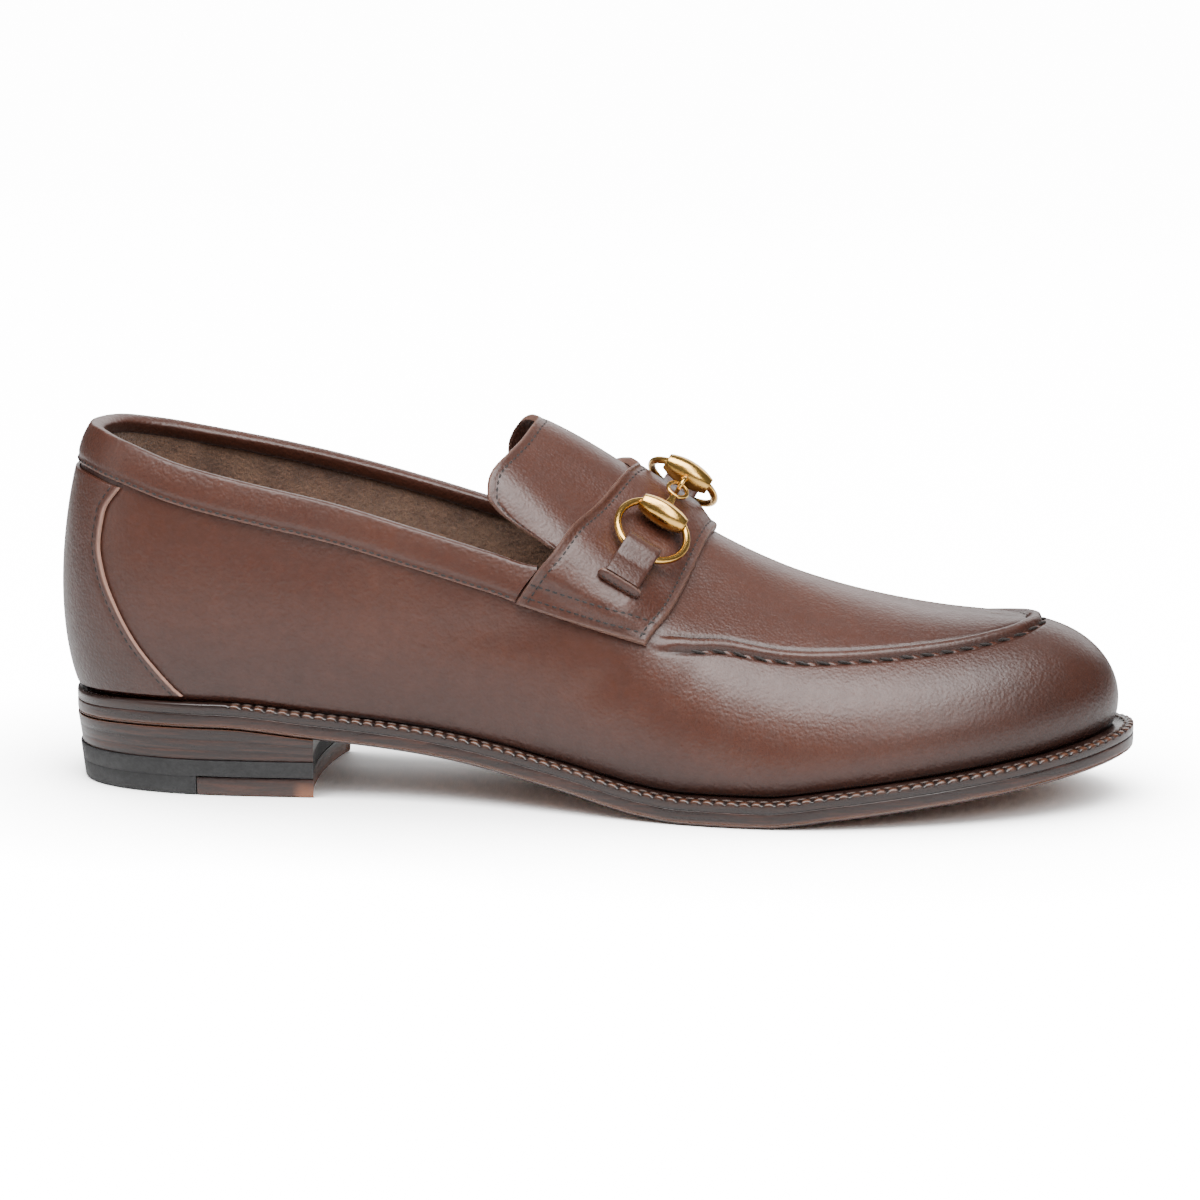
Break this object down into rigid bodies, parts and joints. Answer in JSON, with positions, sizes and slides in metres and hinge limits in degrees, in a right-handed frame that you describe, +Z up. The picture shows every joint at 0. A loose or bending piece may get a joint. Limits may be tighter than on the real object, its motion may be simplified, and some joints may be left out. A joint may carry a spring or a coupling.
{
  "type": "bit loafer",
  "caption": "Slip-on leather dress loafer for the right foot with a raised apron seam, a saddle strap carrying a linked metal bit, a welted leather sole and a stacked heel",
  "frame": {"origin": "point on the flat tread of the heel, on the shoe's centre line, 21 mm ahead of the heel's back", "axes": "+X to the toe along the shoe's length, +Y to the inner side of the foot, +Z up"},
  "size_m": [0.3035, 0.104, 0.1033],
  "materials": {
    "upper_leather": "semi-gloss burnished calf",
    "lining_leather": "matt suede nap",
    "sole_leather": "dark waxed sole edge",
    "welt_leather": "dark waxed and wheeled",
    "heel_rubber": "matt",
    "bit_metal": "antique brass, polished, dark in the hollows"
  },
  "bodies": {
    "shoe": {"outsole": "sole_leather", "welt": "welt_leather", "insole": "lining_leather", "heel_stack": "sole_leather", "heel_rubber": "heel_rubber", "heel_leather_tip": "sole_leather", "upper": "upper_leather", "counter": "upper_leather", "collar_band": "upper_leather", "tongue": "upper_leather", "saddle_strap": "upper_leather", "keeper_outer": "upper_leather", "keeper_inner": "upper_leather"},
    "bit_outer_half": {"bit_outer": "bit_metal"},
    "bit_inner_half": {"bit_inner": "bit_metal"}
  },
  "joints": [
    {"name": "outer_ring_swing", "type": "hinge", "parent": "shoe", "child": "bit_outer_half", "pos_m": [0.14581, -0.0188, 0.07551], "axis": [0.4303, -0.5592, 0.7086], "range_deg": [-6, 6]},
    {"name": "inner_ring_swing", "type": "hinge", "parent": "shoe", "child": "bit_inner_half", "pos_m": [0.1508, 0.01506, 0.08372], "axis": [0.4449, 0.515, 0.7327], "range_deg": [-10.2, 10.2]}
  ],
  "couplings": [
    {"joint": "inner_ring_swing", "follows": "outer_ring_swing", "ratio": -1.7}
  ]
}
